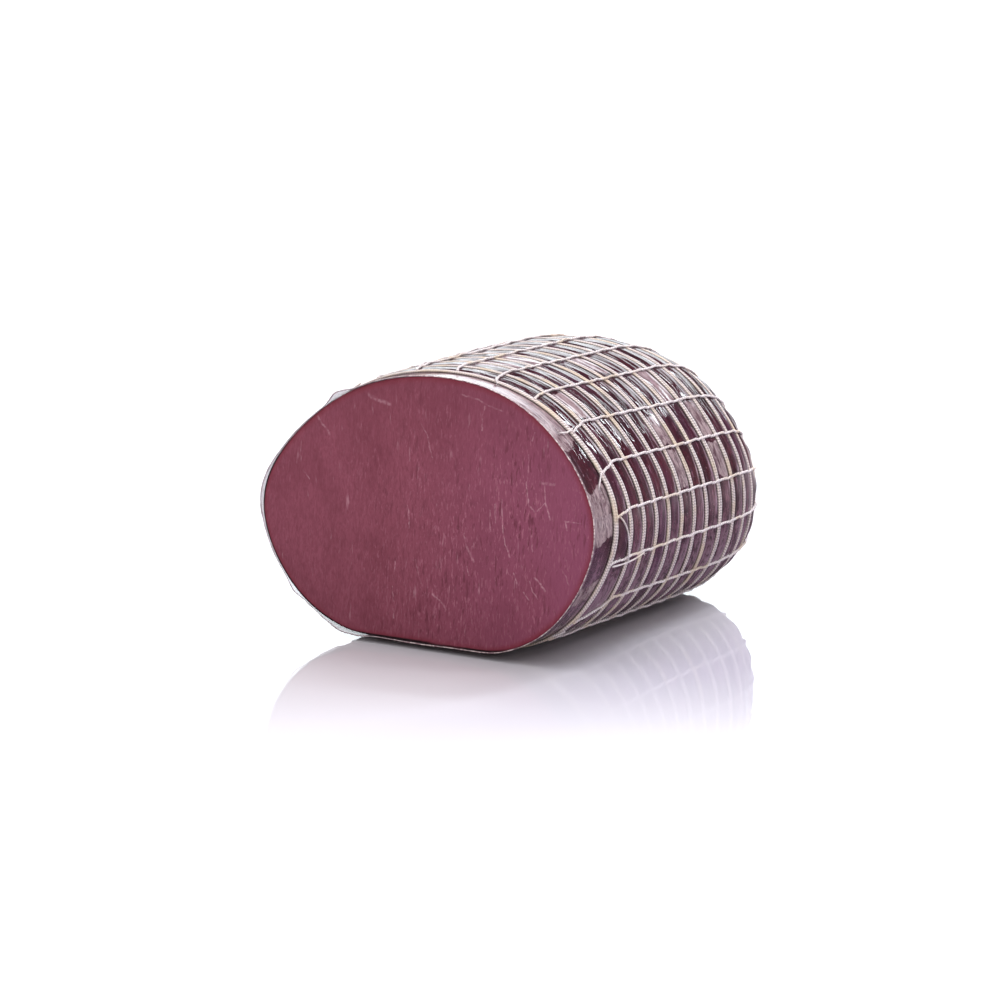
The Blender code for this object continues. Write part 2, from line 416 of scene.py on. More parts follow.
def join(kind, inputs, **settings):
    """A node in the tree of the outputs that it is linked to."""
    tree = next(value.id_data for value in inputs.values() if isinstance(value, bpy.types.NodeSocket))
    return add(tree, kind, inputs, **settings)


def calc(operation, *values):
    """Arithmetic with one or two values."""
    return join("Math", dict(enumerate(values)), operation=operation).outputs[0]


def times(product, *others):
    """The product of some values."""
    for other in others:
        product = calc("MULTIPLY", product, other)
    return product


def vector(operation, *values, output="Vector"):
    """Arithmetic with vectors. A length or a dot product comes out of Value."""
    return join("VectorMath", dict(enumerate(values)), operation=operation).outputs[output]


def parts(whole):
    """The X, Y and Z of a vector."""
    return join("SeparateXYZ", {"Vector": whole}).outputs


def stored(tree, name):
    """A value that the mesh keeps for each vertex."""
    return add(tree, "Attribute", attribute_name=name).outputs["Fac"]


def fade(value, low, high, start=0, end=1):
    """A value that goes smoothly from start to end as another goes from low to high."""
    limits = {"From Min": low, "From Max": high, "To Min": start, "To Max": end}
    return join("MapRange", {"Value": value, **limits}, interpolation_type="SMOOTHSTEP").outputs["Result"]


def mix(share, first, second):
    """A mix of two colours."""
    return join("Mix", {0: share, 6: first, 7: second}, data_type="RGBA").outputs[2]


def tint(colour, share, over):
    """A colour, mixed by a share with a screen colour over it."""
    return mix(share, colour, screen(*over))


def bump(height, strength, depth):
    """Normals tilted by a height."""
    return join("Bump", {"Height": height, "Strength": strength, "Distance": depth}).outputs[0]


def new_material(name):
    """An empty material, its node tree and its shader."""
    material = bpy.data.materials.new(name)
    material.use_nodes = True
    tree = material.node_tree
    tree.nodes.clear()
    shader = add(tree, "BsdfPrincipled")
    join("OutputMaterial", {"Surface": shader.outputs[0]})
    return material, tree, shader


# %% [markdown]
# ## Grain
#
# Meat fibres, wrinkled film and worn cotton all need the same thing: noise that is drawn
# out one way. The two nodes that make it could be built again in every material. As one
# node group with named inputs they are built once, and each material places the group
# with its own stretch and fineness.


# %% Grain group
def new_group(name, inputs, outputs):
    """An empty node group with named sockets of given kinds, and its inputs seen from inside."""
    tree = bpy.data.node_groups.new(name, "ShaderNodeTree")
    for way, sockets in (("INPUT", inputs), ("OUTPUT", outputs)):
        for socket, kind in sockets.items():
            tree.interface.new_socket(name=socket, in_out=way, socket_type="NodeSocket" + kind)
    return tree, add(tree, "NodeGroupInput").outputs


NOISE_INPUTS = ("Scale", "Detail", "Roughness", "Distortion")
grain_group, given = new_group("grain", {"Vector": "Vector", "Stretch": "Vector",
                                         **{name: "Float" for name in NOISE_INPUTS}}, {"Value": "Float"})
stretched = join("Mapping", {"Vector": given["Vector"], "Scale": given["Stretch"]}).outputs[0]
noisy = join("TexNoise", {"Vector": stretched, **{name: given[name] for name in NOISE_INPUTS}})
join("NodeGroupOutput", {"Value": noisy.outputs["Fac"]})
EVEN = (1, 1, 1)


def grain(at, stretch, scale=1, detail=3, roughness=0.5, distortion=0):
    """Noise from 0 to 1 over coordinates that are stretched first."""
    values = dict(zip(NOISE_INPUTS, (scale, detail, roughness, distortion)))
    return join("Group", {"Vector": at, "Stretch": stretch, **values}, node_tree=grain_group).outputs[0]


def grains(at, table):
    """Several grains by name. A row of the table holds the same values as a call of grain."""
    return {name: grain(at, *row) for name, row in table.items()}


print("grain group:", [socket.name for socket in given if socket.name])

# %% [markdown]
# ## The meat
#
# The cut face is nearly flat, but a knife leaves faint waves, and the muscle's fibres
# stand a little out of it. The body behind it is hidden by film and net.
#
# It could be a solid with a smooth cap. Here one sheet makes it whole: it starts at the
# middle of the face, runs out to the rim, over it and along the joint to the tip, so
# the face has enough vertices for real relief and the rim can be rounded.

# %% Meat mesh
FACE_RINGS = 60
MEAT_COLUMNS = CHAINS * 12
RIM_ROUND = 0.35 * MM
SIDE_STEP = 2.5 * MM
KNIFE_WAVES = 0.10 * MM
FIBRE_RELIEF = 0.02 * MM
RIM_REACH = 6 * MM  # sharp edges as near as this to the face are its rim
FACING = 0.9  # a face that looks along the joint this squarely belongs to the cut

side_runs = np.append(np.arange(0, EYE_RUN, SIDE_STEP), RUN_END)
mesh = bmesh.new()
rim_depth = mesh.verts.layers.float.new("rim_depth")
verts, places = sheet(mesh, MEAT_COLUMNS, FACE_RINGS + len(side_runs) - 1)
around = places[:, 0] / MEAT_COLUMNS
on_face = places[:, 1] < FACE_RINGS
spread = np.minimum(places[:, 1] / FACE_RINGS, 1)
run = side_runs[np.maximum(places[:, 1] - FACE_RINGS, 0)]
points, _ = on_joint(around, run, 0)
rim_points = points.copy()
face_middle = surface[0, :-1].mean(axis=0)
points[on_face] = face_middle + (rim_points[on_face] - face_middle) * spread[on_face][:, None]
inside = np.minimum(1, (1 - spread) * 8)
relief = KNIFE_WAVES * wave(points, (25, 25, 45), 1) + FIBRE_RELIEF * wave(points, (700, 700, 90), 2)
points[:, 1] += np.where(on_face, relief * inside, 0)
place(verts, points)
for vert, point, share, face_side in zip(verts, rim_points, spread, on_face):
    vert[rim_depth] = (1 - share) * (Vector(point) - Vector(face_middle)).length if face_side else 0
bmesh.ops.remove_doubles(mesh, verts=list(mesh.verts), dist=SEAM)
rim_turn = math.radians(40)
rim = [edge for edge in mesh.edges if edge.is_manifold and edge.calc_face_angle() > rim_turn
       and edge.verts[0].co.y < face_middle[1] + RIM_REACH]
bmesh.ops.bevel(mesh, geom=rim, offset=RIM_ROUND, affect="EDGES", segments=2, profile=0.5, material=-1)
for face in mesh.faces:
    face.material_index = 0 if abs(face.normal.y) > FACING and face.calc_center_median().y < 0 else 1
print("rim edges rounded:", len(rim))

# %% [markdown]
# ## The finish of the cut face
#
# Cured beef is a dark burgundy, crossed by fine upright fibres, with soft blotches and
# thin pale veins of fat. Light and shade are painted on it as well: a purple sheen to the
# right, pale glints of the wet face, a redder glow where light comes through the thin rim,
# and shade along the left and lower edges. A photograph could be laid on it, but patterns
# made by nodes stay sharp at any distance and hold no picture.
#
# A vein is a short stroke that fades at its sides. One node group draws one stroke from
# a start to an end, and the material places it many times.


# %% Stroke group
def make_stroke_group():
    """A mask that is 1 on a stroke between two points of the cut face and fades out from it."""
    _, given = new_group("fat_stroke", {"Place": "Vector", "Start": "Vector", "End": "Vector",
                                        "Width": "Float", "Strength": "Float"}, {"Mask": "Float"})
    from_start = vector("SUBTRACT", given["Place"], given["Start"])
    whole = vector("SUBTRACT", given["End"], given["Start"])
    share = calc("DIVIDE", vector("DOT_PRODUCT", from_start, whole, output="Value"),
                 vector("DOT_PRODUCT", whole, whole, output="Value"))
    clamped = join("Clamp", {"Value": share}).outputs[0]
    nearest = join("VectorMath", {0: whole, "Scale": clamped}, operation="SCALE").outputs["Vector"]
    distance = vector("DISTANCE", from_start, nearest, output="Value")
    mask = fade(distance, given["Width"], 0)
    return join("NodeGroupOutput", {"Mask": times(mask, given["Strength"])}).id_data


stroke_group = make_stroke_group()

# Fat veins of the cut face: x and z of their points in millimetres, width and strength.
VEINS = (
    (((-25.5, 93), (-21.5, 91.5), (-16, 90.5)), 1.2, 0.55),
    (((-49, 83), (-46.5, 80), (-43, 76.5)), 0.8, 0.5),
    (((-2, 84.5), (1, 80.5), (2.5, 75), (3.5, 72.5)), 0.45, 0.5),
    (((-55, 62), (-52, 59)), 0.4, 0.4),
    (((-7, 53.5), (-6, 49), (-6.5, 45)), 0.45, 0.5),
    (((15.5, 97), (23.5, 95.5), (27, 94), (34, 92.5)), 0.5, 0.5),
    (((26, 93.5), (25, 90), (25, 84.5)), 0.45, 0.5),
    (((51, 68), (53.5, 68), (57, 68)), 1, 0.4),
    (((53, 67.5), (53, 64.5), (53.5, 61), (55.5, 55)), 0.5, 0.65),
    (((53.5, 61), (50, 57.5)), 0.4, 0.5),
    (((45, 67.5), (45.5, 63), (46.5, 59), (49, 57)), 0.5, 0.65),
    (((45.5, 77.5), (45.5, 68)), 0.4, 0.3),
    (((48, 86), (47, 83)), 0.45, 0.45),
    (((61.5, 55), (69, 55)), 0.4, 0.45),
    (((62, 55), (63, 52)), 0.5, 0.6),
    (((34.5, 60), (35, 52), (35.5, 47), (37.5, 42), (38.5, 39.5)), 0.45, 0.6),
    (((31.5, 58), (32, 51)), 0.4, 0.35),
    (((29.5, 55.5), (29.5, 51.5), (30, 48)), 0.45, 0.5),
    (((19, 48), (18.5, 45), (19.5, 41.5)), 0.4, 0.4),
    (((19.5, 41.5), (20.5, 40), (23, 36)), 0.7, 0.4),
    (((20, 33.5), (21, 30.5)), 0.45, 0.5),
    (((47.5, 48.5), (48, 45.5), (48.5, 42.5)), 0.4, 0.4),
    (((40.5, 33.5), (42, 30.5), (42, 28.5)), 0.45, 0.55),
    (((47.5, 31.5), (49, 28), (51, 25.5)), 0.45, 0.5),
    (((49.5, 33), (52.5, 31), (54.5, 28.5)), 0.6, 0.55),
    (((45, 27), (47.5, 24.5)), 0.45, 0.45),
    (((63, 41), (64, 37)), 0.4, 0.35),
    (((62, 36.5), (64.5, 32)), 0.4, 0.35),
    (((5, 21.5), (8.5, 19.5), (11.5, 16.5)), 0.55, 0.5),
    (((-12, 32), (-12, 28)), 0.4, 0.45),
    (((-13, 22.5), (-12.5, 17)), 0.4, 0.35),
    (((-12, 14), (-12, 10.5)), 0.4, 0.4),
    (((-3, 33.5), (0, 25)), 0.4, 0.3),
)
print("veins:", len(VEINS), "strokes:", sum(len(points) - 1 for points, _, _ in VEINS))


# %% Meat materials
FACE_DARK = (127, 58, 75)
FACE_LIGHT = (145, 73, 91)
FACE_PAINTED_GLINT = (176, 108, 126)
FACE_GROOVE = (96, 34, 50)
FACE_BLOTCH = (112, 44, 60)
FACE_PAINTED_SHEEN = (142, 71, 100)
FACE_RIM_GLOW = (126, 38, 54)
FACE_EDGE_SHADE = (34, 8, 18)
FAT = (206, 156, 168)
SIDE_DARK = (84, 36, 52)
SIDE_LIGHT = (112, 56, 74)
SHEEN_FROM = -0.02  # from here to the right a purple sheen is painted on the face
SHEEN_TO = 0.075
MARKS_FROM = -0.05  # short fine marks grow stronger from here to the right; the pale ones are painted glints
MARKS_TO = 0.015
TOP_FROM = 0.06  # from this height up the face grows a little darker
TOP_TO = 0.10
RIM_RED = 3 * MM  # width of the redder rim, a painted glow of light through the thin edge
EDGE_WIDTH = 1.1 * MM
EDGE_RIGHT = 0  # a dark shade is painted along the edge on the left of here, or below EDGE_TOP
EDGE_TOP = 0.006
EDGE_END = 0.08  # on the left it has nearly gone above here
STROKE_WOBBLE = 1.3 * MM
WOBBLE_SCALE = 380
FACE_GRAINS = {
    "fibre": ((1, 1, 0.32), 1000, 4, 0.68, 1),
    "blotch": ((1, 1, 0.7), 55, 4, 0.6),
    "cloud": ((1, 1, 0.8), 16, 2),
    "patch": ((1, 1, 0.6), 42, 2),
    "mark": ((1, 1, 0.26), 1350, 2, 0.6, 0.4),
    "groove": ((1, 1, 0.22), 900, 2, 0.6, 0.4),
    "fleck": ((1, 1, 0.20), 420, 3, 0.6),
    "broken": (EVEN, 620),
}


def veins(here, broken):
    """The largest of all strokes' masks, over coordinates that waver a little."""
    waver = join("TexNoise", {"Vector": here, "Scale": WOBBLE_SCALE, "Detail": 2}).outputs["Color"]
    shift = vector("MULTIPLY", vector("SUBTRACT", waver, (0.5, 0.5, 0.5)), (STROKE_WOBBLE,) * 3)
    flat = vector("MULTIPLY", vector("ADD", here, shift), (1, 0, 1))
    total = 0
    for points, width, strength in VEINS:
        points = [(x * MM, 0, z * MM) for x, z in points]
        for start, end in zip(points, points[1:]):
            stroke = join("Group", {"Place": flat, "Start": start, "End": end, "Width": width * MM,
                                    "Strength": strength}, node_tree=stroke_group)
            total = calc("MAXIMUM", total, stroke.outputs["Mask"])
    return times(total, fade(broken, 0.40, 0.64, 0.2))


def make_cut_face():
    """Fibres and blotches first, then painted sheen, marks and glints, fat, and the painted rim glow and edge
    shade over them.
    """
    material, tree, shader = new_material("cut_face")
    here = add(tree, "TexCoord").outputs["Object"]
    across, _, up = parts(here)
    depth = stored(tree, "rim_depth")
    pattern = grains(here, FACE_GRAINS)
    colour = mix(fade(pattern["fibre"], 0.3, 0.7), screen(*FACE_DARK), screen(*FACE_LIGHT))
    colour = tint(colour, fade(pattern["blotch"], 0.4, 0.7, 0, 0.45), FACE_BLOTCH)
    # a purple sheen painted on the right of the face
    sheen = times(fade(pattern["cloud"], 0.3, 0.6, 0.4), fade(across, SHEEN_FROM, SHEEN_TO), 0.7)
    colour = tint(colour, sheen, FACE_PAINTED_SHEEN)
    marked = times(fade(across, MARKS_FROM, MARKS_TO, 0.35),
                   fade(pattern["patch"], 0.35, 0.62, 0.35))
    # pale marks painted as glints of the wet face
    light = times(fade(pattern["mark"], 0.54, 0.70, 0, 0.6), marked)
    colour = tint(colour, light, FACE_PAINTED_GLINT)
    deep = times(fade(pattern["groove"], 0.54, 0.70, 0, 0.65), marked)
    colour = tint(colour, deep, FACE_GROOVE)
    colour = tint(colour, fade(pattern["fleck"], 0.64, 0.78, 0, 0.4), FAT)
    colour = tint(colour, veins(here, pattern["broken"]), FAT)
    colour = tint(colour, fade(up, TOP_FROM, TOP_TO, 0, 0.35), FACE_BLOTCH)
    # a redder glow painted along the rim, where light comes through the thin edge
    redder = times(fade(depth, RIM_RED, 0), fade(pattern["blotch"], 0.2, 0.6, 0.3, 0.9))
    colour = tint(colour, redder, FACE_RIM_GLOW)
    # a dark shade painted along the left and lower edges of the face
    edge_shade = calc("MAXIMUM", fade(across, EDGE_RIGHT, EDGE_RIGHT - 0.03),
               fade(up, EDGE_TOP, EDGE_TOP / 2))
    edge_shade = times(edge_shade, fade(pattern["blotch"], 0.35, 0.55, 0.35),
                fade(up, EDGE_END, EDGE_END - 0.018, 0.25),
                fade(depth, EDGE_WIDTH, 0.5 * MM))
    colour = tint(colour, edge_shade, FACE_EDGE_SHADE)
    set_inputs(shader, {"Base Color": colour, "Roughness": 0.5, "Specular IOR Level": 0.3,
                        "Normal": bump(pattern["fibre"], 0.2, 0.06 * MM)})
    return material


def make_side_meat():
    """Plain dark meat with fibres along the joint, for what shows through the film."""
    material, tree, shader = new_material("side_meat")
    fibre = grain(add(tree, "TexCoord").outputs["Object"], (1, 0.15, 1), 300)
    colour = mix(fade(fibre, 0.3, 0.7), screen(*SIDE_DARK), screen(*SIDE_LIGHT))
    set_inputs(shader, {"Base Color": colour, "Roughness": 0.35})
    return material


meat = finish_piece(mesh, "meat", "beef", make_cut_face(), make_side_meat())
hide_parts("beef")

# %% [markdown]
# ## The casing
#
# The casing is a clear film, thinner than paper. It clings wetly to the meat in some
# places, where the dark meat shows through, and stands off in others, where it looks
# milky. The net's rings press it down, it bulges between them, and it wrinkles along
# the rings. At the cut its edge stands out past the meat here and there.
#
# A cloth simulation could wrinkle a tube of film, but its folds would not keep to the
# rings. Here a flat sheet gets its height above the meat from formulas and noise.

# %% Rings of the net
ring_runs = [SECOND_RING]
while ring_runs[-1] + RING_PITCH < EYE_RUN:
    ring_runs.append(ring_runs[-1] + RING_PITCH)
if EYE_RUN - ring_runs[-1] < RING_PITCH / 2:
    ring_runs.pop()
ring_runs.append(EYE_RUN)


def first_ring_run(around):
    """Run of the first ring at each place round the joint: it is slack at the near side."""
    shift_y = meat_high.y - TIP
    run = np.full(np.shape(around), FIRST_RING)
    for _ in range(12):
        points, _ = on_joint(around, run, 0)
        height = points[..., 2] - meat_low.z - HALF_HEIGHT
        angle = np.arctan2(height / HALF_HEIGHT, points[..., 0] / HALF_WIDTH)
        wanted = FIRST_RING + FIRST_RING_SAG * np.maximum(0, np.cos(angle - SAG_ANGLE)) ** 4 + shift_y
        run = run + wanted - points[..., 1]
    return run


print("rings at", [round(run * 1000, 1) for run in ring_runs], "mm and one loose one before them")

# %% Film form
FILM_COLUMNS = CHAINS * 12
FILM_STEP = 0.6 * MM
FILM_GIRTH = 0.4  # width of the flat film, for its UV map
FILM_AT_CUT = 0.15 * MM
FILM_LIFT = 0.75 * MM
BULGE = 0.75 * MM
WRINKLE = 0.46 * MM
EDGE_WRINKLE = 0.12 * MM  # wrinkles of the film before the first ring
PLEAT = 0.45 * MM
PLEATS_FROM = SHOULDER + 35 * MM
PLEATS_BLEND = 25 * MM
BAND_SHARE = 0.12  # share of a ring's pitch that its yarns press flat on each side
CREASE_SHARPNESS = 2.4
LIP_BLEND = 9 * MM
LIP_WIDTH = 0.8 * MM  # how far in the film's edge looks clear where it clings
LIP_CLEAR = 8  # and how much further for each millimetre that it stands off

# Where the film's edge stands off: degrees round, spread, and how far past the cut and off the meat in mm.
LIPS = ((169, 16, 0.6, 0.6), (122, 8, 0.6, 1.4), (100, 26, 0.7, 0.3), (207, 6, 0.3, 0.5), (231, 15, 0.8, 1.1),
        (262, 20, 0.5, 0.2))


def film_wave(around, run, across, along, seed):
    """Smooth noise over the flat film, with so many bumps a metre across it and along it."""
    flat = np.stack(np.broadcast_arrays(around * FILM_GIRTH, run, 0), axis=-1)
    return wave(flat, (across, along, 1), seed)


def film_edge(around):
    """How far the film's edge stands out past the cut, and off the meat, at each place round."""
    ragged = 1 + 0.45 * circle_wave(around, 3, 5) + 0.25 * circle_wave(around, 12, 6)
    out, off = 0.22, 0.06
    for degrees, spread, past, lift in LIPS:
        apart = np.abs((around - degrees / 360 + 0.5) % 1 - 0.5) * 360
        lobe = smooth_step(1 - apart / spread)
        out, off = out + past * lobe, off + lift * lobe
    return out * ragged * MM, off * ragged * MM


def base_lift(run):
    """Height of the film above the meat under the net's rings."""
    return FILM_AT_CUT + (FILM_LIFT - FILM_AT_CUT) * smooth_step(run / SECOND_RING)


def ring_gap(around, run):
    """Share of the way from one ring to the next at each place, and which ring is behind it."""
    edges = np.array(ring_runs)
    first = first_ring_run(around)
    index = np.searchsorted(edges, run)
    low = np.where(index == 0, first, edges[np.maximum(index - 1, 0)])
    high = edges[np.minimum(index, len(edges) - 1)]
    share = np.clip((run - low) / np.maximum(high - low, SEAM), 0, 1)
    return np.where(run < first, 0, share), index


def film_lift(around, run):
    """Height of the film above the meat: it bulges and wrinkles between the rings."""
    share, _ = ring_gap(around, run)
    between = np.sin(math.pi * np.clip((share - BAND_SHARE) / (1 - 2 * BAND_SHARE), 0, 1))
    bulge = BULGE * between ** 0.7 * (0.75 + 0.5 * film_wave(around, run, 60, 90, 11))
    ridges = 1 - np.abs(film_wave(around, run, 38, 360, 12)) * CREASE_SHARPNESS
    creases = 1 - np.abs(film_wave(around, run, 55, 440, 15)) * CREASE_SHARPNESS
    folds = film_wave(around, run, 110, 230, 13)
    hug = np.minimum(1, between * 2.5) * (0.45 + 0.55 * np.abs(2 * share - 1))
    wrinkles = WRINKLE * (0.7 * ridges + 0.4 * creases + 0.4 * folds) * hug
    pleated = smooth_step((run - PLEATS_FROM) / PLEATS_BLEND) * between
    pleats = PLEAT * np.cos(around * CHAINS * math.tau) * pleated
    past = smooth_step((run - first_ring_run(around)) / (2 * MM))
    loose = EDGE_WRINKLE * np.abs(film_wave(around, run, 50, 520, 14)) * smooth_step(run / (3 * MM))
    return base_lift(run) + (bulge + wrinkles - pleats) * past + loose * (1 - past)


# %% Where the film looks milky, where glints are painted along folds, and where it is pressed and shade is painted
PATCH_SWAPS = (-0.086, -0.066, -0.024, 0.026, 0.070)  # shares round where the band turns milky, or back
PATCH_BLEND = 0.012
CELL_EDGE = 0.12  # share of an opening's width over which its milkiness fades
FOLD_BEFORE = 3.2 * MM
FOLD_WIDTH = 0.5 * MM
FOLD_SWAY = 0.4 * MM
# shade is painted beside each ring between these distances from it
PRESS_SHADE_FROM = 1.5 * MM
PRESS_SHADE_TO = 2.9 * MM
MILKY_CELLS = ((0, 5), (1, 5), (1, 8), (0, 8), (2, 7), (2, 1), (4, 3), (3, 5))  # which chain and which ring
MILKY_SHARE = 0.14  # of the openings elsewhere
milky_cells = np.random.default_rng(3).random((CHAINS, len(ring_runs) + 2)) < MILKY_SHARE
milky_cells[:5] = milky_cells[-4:] = False
for chain, ring in MILKY_CELLS:
    milky_cells[chain, ring] = True


def milkiness(around, run):
    """1 where the film stands off the meat and looks milky, 0 where it clings."""
    spot = (around + 0.5) % 1 - 0.5 + 0.004 * np.sin(run * 400)
    swaps = [smooth_step((spot - swap) / PATCH_BLEND + 0.5) for swap in PATCH_SWAPS]
    band = sum(swaps[::2]) - sum(swaps[1::2])
    _, index = ring_gap(around, run)
    column = around * CHAINS + 0.25 * film_wave(around, run, 60, 60, 43)
    inner = np.minimum(column % 1, 1 - column % 1)
    cell = milky_cells[np.floor(column).astype(int) % CHAINS, index] * smooth_step(inner / CELL_EDGE)
    rough = 0.5 * film_wave(around, run, 60, 330, 42)
    scattered = film_wave(around, run, 30, 160, 41) + rough - 0.62
    netted = smooth_step(np.maximum(cell * (0.85 + rough), scattered / 0.3))
    return np.where(run < first_ring_run(around), band, netted)


def fold_glint_lines(around, run):
    """1 along the narrow folds that the film makes just before each ring, where a glint is painted, 0
    elsewhere.
    """
    edges = np.array(ring_runs)
    following = edges[np.minimum(np.searchsorted(edges, run), len(edges) - 1)]
    apart = following - run - FOLD_BEFORE - FOLD_SWAY * film_wave(around, run * 0, 70, 1, 44)
    return np.exp(-(apart / FOLD_WIDTH) ** 2)


def pressed(around, run):
    """1 close beside a ring, where its yarns hold the film down on to the meat and a dark shade is painted, 0
    elsewhere.
    """
    rings = np.stack([first_ring_run(around)] + [np.full_like(run, ring) for ring in ring_runs])
    return smooth_step(1 - (np.abs(rings - run).min(axis=0) - PRESS_SHADE_FROM) / (PRESS_SHADE_TO - PRESS_SHADE_FROM))


# %% Film mesh
mesh = bmesh.new()
layers = {name: mesh.verts.layers.float.new(name) for name in ("milk", "lip", "fold_glint", "press_shade")}
film_rows = int(RUN_END / FILM_STEP)
verts, places = sheet(mesh, FILM_COLUMNS, film_rows)
around = places[:, 0] / FILM_COLUMNS
run = places[:, 1] / film_rows * RUN_END
edge_out, edge_off = film_edge(around)
near_cut = np.maximum(0, 1 - run / LIP_BLEND)
drawn = run - edge_out * near_cut
shown = {"milk": milkiness(around, run), "fold_glint": fold_glint_lines(around, run), "press_shade": pressed(around, run),
         "lip": smooth_step(1 - drawn / (LIP_WIDTH + LIP_CLEAR * edge_off))}
points, _ = on_joint(around, drawn, film_lift(around, run) + smooth_step(near_cut) * edge_off)
place(verts, points)
for name, values in shown.items():
    for vert, value in zip(verts, values):
        vert[layers[name]] = value
scale_uvs(mesh, mesh.faces, FILM_GIRTH, RUN_END)
print("film:", len(verts), "vertices with the values", sorted(shown))

# %% [markdown]
# ## The finish of the film
#
# A clear film has no colour of its own. What the eye meets is the meat through it, milky
# air where it stands off, and a white line wherever a wrinkle catches a lamp. Real glass
# over real meat would show this too, but it renders slowly and noisily and can't be
# exported. So the film is painted as it looks, under a sharp gloss: the values that the
# mesh keeps say where it clings, where it stands off, where glints are painted along
# folds, and where it is pressed and shade is painted beside the rings. The height says
# how strong a painted reflection of the pale table is on it. Only its loose edge at the
# cut is see-through.

# %% Film material
FILM_PRESS_SHADE_AND_SCORE = (24, 6, 12)
FILM_DARK = (44, 11, 25)
FILM_DARK_RED = (94, 32, 46)
FILM_PURPLE = (88, 50, 76)
FILM_TABLE_REFLECTION = (154, 126, 142)
FILM_SCUFF = (152, 116, 132)
FILM_MILKY = (166, 145, 148)
FILM_MILKY_DARK = (96, 70, 78)
FILM_TOP = (142, 114, 122)
FILM_GLINT_AND_SPECK = (176, 148, 162)
FILM_CLEAR = (188, 168, 175)
HAZE_HEIGHTS = (0.058, 0.02)  # a painted reflection of the pale table grows from the first height down to the second
FOOT_HEIGHTS = (0.004, 0.018)  # and goes again near the table
DARK_HEIGHTS = (0.05, 0.085)  # the clinging film is darker towards the top
TOP_HEIGHTS = (0.075, 0.1)  # and the milky film too
FACETS = (170, 520, 1)
FACET_TURN = (0, 0, 0.12)
FILM_GRAINS = {
    "wobble": ((180, 300, 1), 1, 5, 0.75),
    "slow": ((40, 120, 1),),
    "mottle": ((330, 520, 1), 1, 4, 0.7),
    "haze": ((22, 60, 1), 1, 2),
    "broken": ((60, 150, 1), 1, 3, 0.6),
    "creased": ((150, 420, 1), 1, 5, 0.8, 0.8),
    "streaks": ((70, 900, 1), 1, 3, 0.7),
    "scores": ((110, 1000, 1), 1, 3, 0.7, 0.5),
    "specks": ((520, 900, 1), 1, 2),
    "ridges": ((60, 780, 1), 1, 2, 0.5, 0.5),
}
FILM_MARKS = (("streaks", 0.55, 0.68, FILM_SCUFF), ("scores", 0.55, 0.66, FILM_PRESS_SHADE_AND_SCORE),
              ("specks", 0.66, 0.74, FILM_GLINT_AND_SPECK))  # where each pattern starts and is full


def make_film():
    """Dark where it clings, pale where milky, a painted table reflection, then marks, glints painted along
    folds, pressed lines of painted shade and the clear edge.
    """
    material, tree, shader = new_material("film")
    coordinates = add(tree, "TexCoord").outputs
    flat = coordinates["UV"]
    height = parts(coordinates["Object"])["Z"]
    pattern = grains(flat, FILM_GRAINS)
    uneven = times(calc("SUBTRACT", pattern["wobble"], 0.5), 1.6)
    milky = fade(calc("ADD", stored(tree, "milk"), uneven), 0.44, 0.56)
    tone = times(calc("ADD", pattern["slow"], pattern["mottle"]), 0.5)
    dark = mix(fade(tone, 0.38, 0.62), screen(*FILM_DARK), screen(*FILM_DARK_RED))
    dark = tint(dark, fade(pattern["haze"], 0.45, 0.7, 0, 0.7), FILM_PURPLE)
    # a painted reflection of the pale table, strongest low on the film
    low = times(fade(height, *HAZE_HEIGHTS), fade(tone, 0.38, 0.58, 0.12, 0.9),
                fade(height, *FOOT_HEIGHTS, 0.2))
    dark = tint(dark, low, FILM_TABLE_REFLECTION)
    dark = tint(dark, fade(height, *DARK_HEIGHTS, 0, 0.55), FILM_DARK)
    # a glint painted along the folds just before each ring
    fold_glints = times(stored(tree, "fold_glint"), fade(pattern["broken"], 0.40, 0.62))
    dark = tint(dark, fold_glints, FILM_GLINT_AND_SPECK)
    pale = mix(fade(pattern["creased"], 0.38, 0.60), screen(*FILM_MILKY_DARK), screen(*FILM_MILKY))
    pale = tint(pale, fade(height, *TOP_HEIGHTS, 0, 0.35), FILM_TOP)
    colour = mix(milky, dark, pale)
    for name, low, high, mark in FILM_MARKS:
        colour = tint(colour, fade(pattern[name], low, high, 0, 0.6), mark)
    # dark shade painted beside each ring, where the film also clings to the meat
    colour = tint(colour, times(stored(tree, "press_shade"), 0.75), FILM_PRESS_SHADE_AND_SCORE)
    lip = stored(tree, "lip")
    colour = tint(colour, lip, FILM_CLEAR)
    alpha = times(fade(milky, 0, 1, 0.85, 0.97), fade(lip, 0, 1, 1, 0.58))
    ridges = calc("ABSOLUTE", calc("SUBTRACT", pattern["ridges"], 0.5))
    turned = join("Mapping", {"Vector": flat, "Scale": FACETS, "Rotation": FACET_TURN}).outputs[0]
    facets = join("TexVoronoi", {"Vector": turned, "Scale": 1, "Randomness": 1}).outputs["Distance"]
    relief = calc("ADD", times(ridges, 2.2), times(facets, 0.4))
    set_inputs(shader, {"Base Color": colour, "Alpha": alpha, "Roughness": 0.03, "IOR": 1.45,
                        "Normal": bump(relief, 0.6, 0.06 * MM)})
    return material


film = finish_piece(mesh, "film", "casing", make_film())
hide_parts("casing")

# %% [markdown]
# ## The film's cut edge
#
# Where the knife went through, the film curls over into a fine pale bead. It could be
# left to the film's own edge, but that has no thickness and would catch no light. A thin
# yarn-like roll along the edge shows as the fine speckled line that a cut film has.

